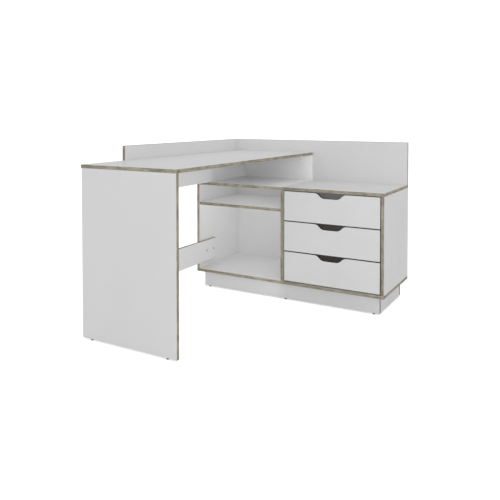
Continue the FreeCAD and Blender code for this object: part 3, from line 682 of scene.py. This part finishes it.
for drawer in DRAWERS:
    front = merged_copy(f"{drawer}_front")
    face_level = min(vertex.co.y for vertex in front.verts)
    rim = [
        edge
        for edge in front.edges
        if all(vertex.co.y < face_level + hair for vertex in edge.verts)
        and len(edge.link_faces) == 2
        and edge.calc_face_angle() > sharp_corner
    ]
    ease_edges(front, rim, front_ease, 3)
    broad = [face for face in front.faces if abs(face.normal.y) > fully_turned]
    rest_of_band = front_band - front_ease
    bmesh.ops.inset_region(front, faces=broad, thickness=rest_of_band, use_even_offset=True)
    painted = set(broad)
    grain = front.loops.layers.uv.new("grain")
    for face in front.faces:
        face.smooth = True
        face.material_index = 0 if face in painted else 1
        runs_up = abs(face.normal.x) > half_turned
        for corner in face.loops:
            spot = corner.vert.co
            along = spot.z if runs_up else spot.x
            corner[grain].uv = (along + print_step * strips_made, spot.y)
    strips_made += 1
    finished(
        front,
        f"{drawer}_banded_front",
        [front_white_painted_light, oak_rim_painted_shade],
        drawer,
        [f"{drawer}_front"],
    )
    for part in ("left_side", "right_side", "back"):
        finish_node(f"{drawer}_{part}", box_foil)
    finish_node(f"{drawer}_bottom", drawer_hardboard)

# Cam locks: die-cast zinc discs pressed into the boards' faces, each with a cross slot for the
# driver, and the plated bolts that they draw. They sit a hair below the face.

cast_zinc, zinc_tree, zinc_shader = node_material("die_cast_zinc")
plated_steel, plated_tree, plated_shader = node_material("zinc_plated_steel")


def metal_group():
    """Metal with a faint cloudiness and fine scratches."""
    tree, entry, leave = effect_group(
        "worked_metal",
        {"Vector": "NodeSocketVector", "Tint": "NodeSocketColor", "Polish": "NodeSocketFloat"},
        SURFACE_OUTPUTS,
    )
    vector = entry.outputs["Vector"]
    clouds = noise(tree, vector, 220.0, 3.0)
    shade = ramp(tree, clouds, (0.3, (0.82, 0.82, 0.82)), (0.7, (1.0, 1.0, 1.0)))
    tree.links.new(multiplied(tree, entry.outputs["Tint"], shade), leave.inputs["Color"])
    rough = calculated(tree, "MULTIPLY_ADD", clouds, 0.25, entry.outputs["Polish"])
    tree.links.new(rough, leave.inputs["Roughness"])
    scratches = noise(tree, stretched(tree, vector, (1, 1, 9)), 900.0, 2.0)
    tree.links.new(scratches, leave.inputs["Height"])
    return tree


worked_metal = metal_group()
zinc_grey = (0.50, 0.50, 0.49, 1)
zinc_shader.inputs["Metallic"].default_value = 1.0
surface(zinc_tree, zinc_shader, worked_metal, 0.3, 0.0001, Tint=zinc_grey, Polish=0.35)
plating_grey = (0.62, 0.62, 0.60, 1)
plated_shader.inputs["Metallic"].default_value = 1.0
surface(plated_tree, plated_shader, worked_metal, 0.15, 0.00005, Tint=plating_grey, Polish=0.2)


def turned(profile, segments=32):
    """A round shape spun about the upright axis from (radius, height) points."""
    shape = bmesh.new()
    points = [shape.verts.new((radius, 0, height)) for radius, height in profile]
    edges = [shape.edges.new(pair) for pair in zip(points, points[1:])]
    bmesh.ops.spin(
        shape,
        geom=points + edges,
        cent=(0, 0, 0),
        axis=(0, 0, 1),
        angle=2 * math.pi,
        steps=segments,
        use_merge=True,
        use_duplicate=False,
    )
    bmesh.ops.remove_doubles(shape, verts=shape.verts, dist=weld)
    return shape


def smoothed(shape):
    """Turn a closed shape's faces outwards and shade them smooth."""
    bmesh.ops.recalc_face_normals(shape, faces=shape.faces)
    for face in shape.faces:
        face.smooth = True
    return shape


def sink_recess(shape, level, outline, depth):
    """Close the open round top of a turned shape with a face that holds a sunk recess."""
    rim = [edge for edge in shape.edges if edge.is_boundary]
    corners = [shape.verts.new((x, y, level)) for x, y in outline]
    loop = [shape.edges.new(pair) for pair in zip(corners, corners[1:] + corners[:1])]
    bmesh.ops.triangle_fill(shape, use_beauty=True, edges=rim + loop)
    made = bmesh.ops.extrude_edge_only(shape, edges=loop)["geom"]
    sunk = [item for item in made if isinstance(item, bmesh.types.BMVert)]
    bmesh.ops.translate(shape, vec=(0, 0, -depth), verts=sunk)
    sides = [item for item in made if isinstance(item, bmesh.types.BMEdge)]
    bmesh.ops.contextual_create(shape, geom=[edge for edge in sides if edge.is_boundary])
    return smoothed(shape)


def cross(reach, half_width):
    """Outline of a cross slot."""
    quarter = [(half_width, -half_width), (reach, -half_width), (reach, half_width)]
    turns = ((1, 0), (0, 1), (-1, 0), (0, -1))
    return [(x * c - y * s, x * s + y * c) for c, s in turns for x, y in quarter]


def hexagon(reach):
    """Outline of a hexagon socket."""
    angles = [math.pi * k / 3 for k in range(6)]
    return [(reach * math.cos(angle), reach * math.sin(angle)) for angle in angles]


def add_copy(shape, template, place, direction):
    """Add a copy of a template at a place, its own up turned to a direction."""
    known = len(shape.verts)
    part = bpy.data.meshes.new("copy")
    template.to_mesh(part)
    shape.from_mesh(part)
    bpy.data.meshes.remove(part)
    shape.verts.ensure_lookup_table()
    turn = Vector(direction).to_track_quat("Z", "Y").to_matrix().to_4x4()
    bmesh.ops.transform(shape, matrix=Matrix.Translation(place) @ turn, verts=shape.verts[known:])


def add_only_copy(shape, template, place, direction):
    """Add a template that is needed only once, and let it go."""
    add_copy(shape, template, place, direction)
    template.free()


def solids_of(node):
    """The lowest and highest corner of each separate solid of a modelled piece."""
    shape = welded_copy(node)
    boxes = []
    left = set(shape.verts)
    while left:
        reached = {left.pop()}
        newest = set(reached)
        while newest:
            linked = {edge.other_vert(vertex) for vertex in newest for edge in vertex.link_edges}
            newest = linked - reached
            reached |= linked
        left -= reached
        spots = [vertex.co for vertex in reached]
        low = Vector(min(spot[axis] for spot in spots) for axis in range(3))
        high = Vector(max(spot[axis] for spot in spots) for axis in range(3))
        boxes.append((low, high))
    shape.free()
    return sorted(boxes, key=lambda box: tuple(round(value, 5) for value in (*box[0], *box[1])))


def holder_of(low, high, boards):
    """The board that a fitting lies in."""
    middle = (low + high) / 2
    for board in boards:
        ends = zip(*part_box(board), middle)
        if all(start - hair <= spot <= end + hair for start, end, spot in ends):
            return board
    raise ValueError(f"no board holds the fitting at {tuple(middle)}")


cam_radius = 0.0075
cam_play = 0.0001
cam_sink = 0.0002
slot_reach = 0.0034
slot_half_width = 0.0007
slot_depth = 0.0022


def cam_template(length):
    """A cam disc with a stepped rim and a cross slot, its face at the origin."""
    rim = cam_radius - cam_play
    step = 0.0005
    shape = turned(
        (
            (0, -length),
            (rim - step, -length),
            (rim, step - length),
            (rim, -step),
            (rim - step / 2, -step / 3),
            (rim - step, 0),
            (rim - 3 * step, 0),
            (rim - 4 * step, -step),
        )
    )
    return sink_recess(shape, -step, cross(slot_reach, slot_half_width), slot_depth)


all_boards = [board for boards in boards_by_thin_axis.values() for board in boards]


def add_cam(shape, low, high, boards):
    """Add a cam where a plain disc stands, its slotted face turned out of its board."""
    size = high - low
    thin = min(range(3), key=lambda axis: size[axis])
    board_low, board_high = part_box(holder_of(low, high, boards))
    middle = (low + high) / 2
    outward = Vector((0, 0, 0))
    outward[thin] = 1 if board_high[thin] - high[thin] < low[thin] - board_low[thin] else -1
    face = middle.copy()
    face[thin] = (high if outward[thin] > 0 else low)[thin] - outward[thin] * cam_sink
    add_only_copy(shape, cam_template(size[thin] - 2 * cam_sink), face, outward)


cams = bmesh.new()
for low, high in solids_of("cam_locks"):
    add_cam(cams, low, high, all_boards)
finished(cams, "slotted_cam_locks", [cast_zinc], "desk", ["cam_locks"])
finish_node("cam_bolts", plated_steel)

# The drawers' own fixings: two cams and bolts hold each side to the front, two long screws hold
# it to the rear board, and two short ones fix the runner under it.

screw_head_radius = 0.0036
screw_core = 0.0013
screw_thread = 0.0018
screw_pitch = 0.0012
screw_tip = 0.003
screw_neck = 0.0035
screw_sink = 0.0001


def screw_template(length):
    """A countersunk wood screw with a cross recess, its head's face at the origin."""
    profile = [(0, -length), (0.0003, 0.0006 - length)]
    height = -length + screw_tip
    while height < -screw_neck:
        profile += [(screw_core, height), (screw_thread, height + screw_pitch / 2)]
        height += screw_pitch
    profile += [
        (screw_core, height),
        (screw_thread - 0.0001, -0.0024),
        (screw_head_radius - 0.0001, -0.0003),
        (screw_head_radius - 0.0001, -0.0001),
        (screw_head_radius - 0.0004, 0),
    ]
    return sink_recess(turned(profile, 24), 0, cross(0.0019, 0.0004), 0.0013)


end_zone = 2e-4


def head_direction(node, low, high):
    """The way a screw's head looks: along its long axis, out of the end with the wider ring."""
    size = high - low
    long = max(range(3), key=lambda axis: size[axis])
    middle = (low + high) / 2
    reach = {1: 0, -1: 0}
    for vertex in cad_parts[node].data.vertices:
        spot = vertex.co
        if any(not low[axis] - weld <= spot[axis] <= high[axis] + weld for axis in range(3)):
            continue
        offset = spot - middle
        end = 1 if offset[long] > 0 else -1
        if abs(abs(offset[long]) - size[long] / 2) < end_zone:
            offset[long] = 0
            reach[end] = max(reach[end], offset.length)
    outward = Vector((0, 0, 0))
    outward[long] = 1 if reach[1] > reach[-1] else -1
    face = middle + outward * (size[long] / 2)
    return face, outward, size[long]


def add_screw(shape, node, low, high):
    """Add a threaded screw where a plain one stands."""
    face, outward, length = head_direction(node, low, high)
    template = screw_template(length - screw_sink)
    add_only_copy(shape, template, face - outward * screw_sink, outward)


bolt_length = 0.030
bolt_neck = 0.0034
bolt_shank = bolt_neck - 0.0009
bolt_waist = bolt_neck - 0.0019
bolt_thread = 0.0024
bolt_core = 0.0018
bolt_thread_length = 0.010
bolt_pitch = 0.0016
bolt_tip = 0.0008
bolt_runout = 0.0018


def bolt_template(length):
    """A cam bolt: a coarse thread, a collar, a shank, and the waist and head the cam grips."""
    profile = [(0, -bolt_thread_length), (bolt_tip, -bolt_thread_length)]
    height = -bolt_thread_length + bolt_tip
    while height < -bolt_runout:
        profile += [(bolt_core, height), (bolt_thread, height + bolt_pitch / 2)]
        height += bolt_pitch
    end = length - bolt_thread_length
    profile += [
        (bolt_core, height),
        (bolt_core, 0),
        (bolt_neck, 0),
        (bolt_neck, 0.0015),
        (bolt_shank, 0.002),
        (bolt_shank, end - 0.006),
        (bolt_waist, end - 0.0055),
        (bolt_waist, end - 0.0025),
        (bolt_neck, end - 0.0015),
        (bolt_neck, end - 0.0006),
        (bolt_neck - 0.0006, end),
        (0, end),
    ]
    return smoothed(turned(profile, 24))


least_cam_height = 0.012
joint_bolt = bolt_template(bolt_length)
for drawer in DRAWERS:
    node = f"{drawer}_fasteners"
    sides = (f"{drawer}_left_side", f"{drawer}_right_side")
    drawer_cams = bmesh.new()
    steel = bmesh.new()
    for low, high in solids_of(node):
        size = high - low
        if size.z < least_cam_height:
            add_screw(steel, node, low, high)
            continue
        disc_low = low.copy()
        disc_low.y = high.y - size.z
        add_cam(drawer_cams, disc_low, high, sides)
        middle = (low + high) / 2
        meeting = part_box(sides[0])[0].y
        add_copy(steel, joint_bolt, (middle.x, meeting, middle.z), (0, 1, 0))
    finished(drawer_cams, f"{drawer}_cams", [cast_zinc], drawer, [node])
    name = f"{drawer}_screws_and_bolts"
    finished(steel, name, [plated_steel], drawer, [node])
joint_bolt.free()

# Wood screws: short countersunk ones with a cross recess, through the runners' channels into the
# cabinet and through the plastic angles into the desktop and the rear screen.

screws = bmesh.new()
for low, high in solids_of("wood_screws"):
    add_screw(screws, "wood_screws", low, high)
finished(
    screws,
    "countersunk_wood_screws",
    [plated_steel],
    "desk",
    ["wood_screws"],
)

# The stretcher's two connecting bolts: low domed heads with a hexagon socket on the stretcher's
# face, and sleeve nuts let in flush on the outside of the cabinet.

nut_length = 0.012


def connector_template(length, flush):
    """A low round head with a hexagon socket on a plain shank, its face at the origin."""
    head = 0.006
    play = 0.0001 if flush else 0
    profile = [
        (0, -length),
        (0.0024, -length),
        (0.0029, 0.0005 - length),
        (0.0029, -0.002 + play),
        (head - play, -0.002 + play),
        (head - play, -0.0008),
        (head - 0.0004, -0.0003),
        (head - 0.0013, -0.0001),
        (0.0038, 0),
    ]
    return sink_recess(turned(profile, 40), 0, hexagon(0.0023), 0.0013)


connectors = bmesh.new()
for low, high in solids_of("stretcher_bolts"):
    middle = (low + high) / 2
    bolt = connector_template(high.x - low.x - nut_length, False)
    add_only_copy(connectors, bolt, (high.x, middle.y, middle.z), (1, 0, 0))
    nut = connector_template(nut_length, True)
    add_only_copy(connectors, nut, (low.x, middle.y, middle.z), (-1, 0, 0))
finished(
    connectors,
    "stretcher_connecting_bolts",
    [plated_steel],
    "desk",
    ["stretcher_bolts"],
)

# Shelf pins: plated steel rods with rounded ends, pushed into bored holes, two in the left side
# and two in the divider. The shelf lies on them.


def pin_template(length, radius):
    """A rod with rounded ends, standing up from the origin."""
    ease = radius * 0.35
    profile = [
        (0, 0),
        (radius - ease, 0),
        (radius - ease * 0.3, ease * 0.3),
        (radius, ease),
        (radius, length - ease),
        (radius - ease * 0.3, length - ease * 0.3),
        (radius - ease, length),
        (0, length),
    ]
    return smoothed(turned(profile, 24))


pins = bmesh.new()
for low, high in solids_of("shelf_pins"):
    middle = (low + high) / 2
    template = pin_template(high.x - low.x, (high.z - low.z) / 2)
    add_only_copy(pins, template, (low.x, middle.y, middle.z), (1, 0, 0))
finished(pins, "rounded_shelf_pins", [plated_steel], "desk", ["shelf_pins"])

# Glide feet: black nylon glides knocked into the lower edges of the plinth and of the end panel,
# with a domed sole, a collar under the board and a ribbed stem.


def plastic_group():
    """Moulded plastic: a fine spark-eroded texture, a little uneven in its shine."""
    tree, entry, leave = effect_group(
        "moulded_plastic",
        {"Vector": "NodeSocketVector", "Tint": "NodeSocketColor"},
        SURFACE_OUTPUTS,
    )
    vector = entry.outputs["Vector"]
    clouds = noise(tree, vector, 90.0, 3.0)
    shade = ramp(tree, clouds, (0.3, (0.9, 0.9, 0.9)), (0.7, (1.0, 1.0, 1.0)))
    tree.links.new(multiplied(tree, entry.outputs["Tint"], shade), leave.inputs["Color"])
    tree.links.new(span(tree, clouds, 0.38, 0.56), leave.inputs["Roughness"])
    tree.links.new(noise(tree, vector, 2200.0, 2.0), leave.inputs["Height"])
    return tree


moulded_plastic = plastic_group()
black_nylon, black_tree, black_shader = node_material("black_nylon")
surface(black_tree, black_shader, moulded_plastic, 0.2, 0.0001, Tint=(0.022, 0.022, 0.023, 1))


def foot_template(radius, collar, stem, height):
    """A glide standing on the origin."""
    rib_start = collar + 0.0012
    rib_pitch = 0.0014
    rib_depth = 0.0006
    profile = [
        (0, 0),
        (radius * 0.62, 0),
        (radius * 0.80, 0.0003),
        (radius * 0.93, 0.0010),
        (radius, 0.0022),
        (radius, collar - 0.0012),
        (radius - 0.0004, collar - 0.0003),
        (radius - 0.0010, collar),
        (stem, collar),
        (stem, rib_start),
    ]
    level = rib_start
    while level < height - 0.003:
        profile += [(stem - rib_depth, level + 0.0004), (stem, level + 0.0012)]
        level += rib_pitch
    profile += [(stem - 0.0012, height - 0.0003), (stem - 0.0016, height), (0, height)]
    return smoothed(turned(profile, 32))


feet = bmesh.new()
plinth_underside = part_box("plinth_front")[0].z
stem_radius = 0.0038
for low, high in solids_of("glide_feet"):
    middle = (low + high) / 2
    template = foot_template((high.x - low.x) / 2, plinth_underside, stem_radius, high.z)
    add_only_copy(feet, template, (middle.x, middle.y, low.z), (0, 0, 1))
finished(feet, "nylon_glide_feet", [black_nylon], "desk", ["glide_feet"])

# The corner angles: white moulded plastic between the rear screen and the desktop, with all
# their edges eased, as the mould leaves them.

white_plastic, angle_tree, angle_shader = node_material("white_moulded_plastic")
surface(angle_tree, angle_shader, moulded_plastic, 0.15, 0.0001, Tint=(0.86, 0.86, 0.85, 1))


def eased_copy(node, ease):
    """A copy of a modelled piece with its sharp straight edges rounded over."""
    shape = merged_copy(node)
    sharp = [
        edge
        for edge in shape.edges
        if len(edge.link_faces) == 2
        and edge.calc_face_angle() > sharp_corner
        and edge.calc_length() > 3 * ease
    ]
    ease_edges(shape, sharp, ease, 2)
    for face in shape.faces:
        face.smooth = True
    return shape


moulded_ease = 0.0006
angles = eased_copy("corner_brackets", moulded_ease)
finished(
    angles,
    "moulded_corner_angles",
    [white_plastic],
    "desk",
    ["corner_brackets"],
)

# The roller runners: rolled steel channels and rails in white enamel, and nylon rollers with a
# rounded tyre, a sunk web and a hub that turn on the steel's stub axles.

enamel, enamel_tree, enamel_shader = node_material("white_enamelled_steel")
surface(enamel_tree, enamel_shader, moulded_plastic, 0.05, 0.0001, Tint=(0.80, 0.80, 0.79, 1))
enamel_shader.inputs["Coat Weight"].default_value = 0.3
white_nylon, nylon_tree, nylon_shader = node_material("white_nylon")
surface(nylon_tree, nylon_shader, moulded_plastic, 0.1, 0.0001, Tint=(0.80, 0.79, 0.75, 1))


def roller_template(width, radius, bore):
    """A roller standing on the origin, with a rounded tyre, a hub and a web sunk on both faces."""
    ease = 0.0012
    web = radius - 0.0022
    hub = bore + 0.0014
    sink = 0.0009
    profile = [
        (bore, 0),
        (hub, 0),
        (hub + 0.0003, sink),
        (web - 0.0004, sink),
        (web, 0),
        (radius - ease, 0),
        (radius - ease * 0.3, ease * 0.3),
        (radius, ease),
        (radius, width - ease),
        (radius - ease * 0.3, width - ease * 0.3),
        (radius - ease, width),
        (web, width),
        (web - 0.0004, width - sink),
        (hub + 0.0003, width - sink),
        (hub, width),
        (bore, width),
        (bore, 0),
    ]
    return smoothed(turned(profile, 40))


roller_bore = 0.00255
rolled_ease = 0.0003
for drawer in DRAWERS:
    rollers = {
        f"{drawer}_cabinet_rollers": f"{drawer}_front_rollers",
        f"{drawer}_runner_rollers": f"{drawer}_rear_rollers",
    }
    for node, body in rollers.items():
        wheels = bmesh.new()
        for low, high in solids_of(node):
            middle = (low + high) / 2
            template = roller_template(high.x - low.x, (high.z - low.z) / 2, roller_bore)
            add_only_copy(wheels, template, (low.x, middle.y, middle.z), (1, 0, 0))
        finished(wheels, f"{body}_tyres", [white_nylon], body, [node])
    for node, body in ((f"{drawer}_runners", drawer), (f"{drawer}_cabinet_runners", "desk")):
        rails = eased_copy(node, rolled_ease)
        name = f"{node}_rolled_steel"
        finished(rails, name, [enamel], body, [node])
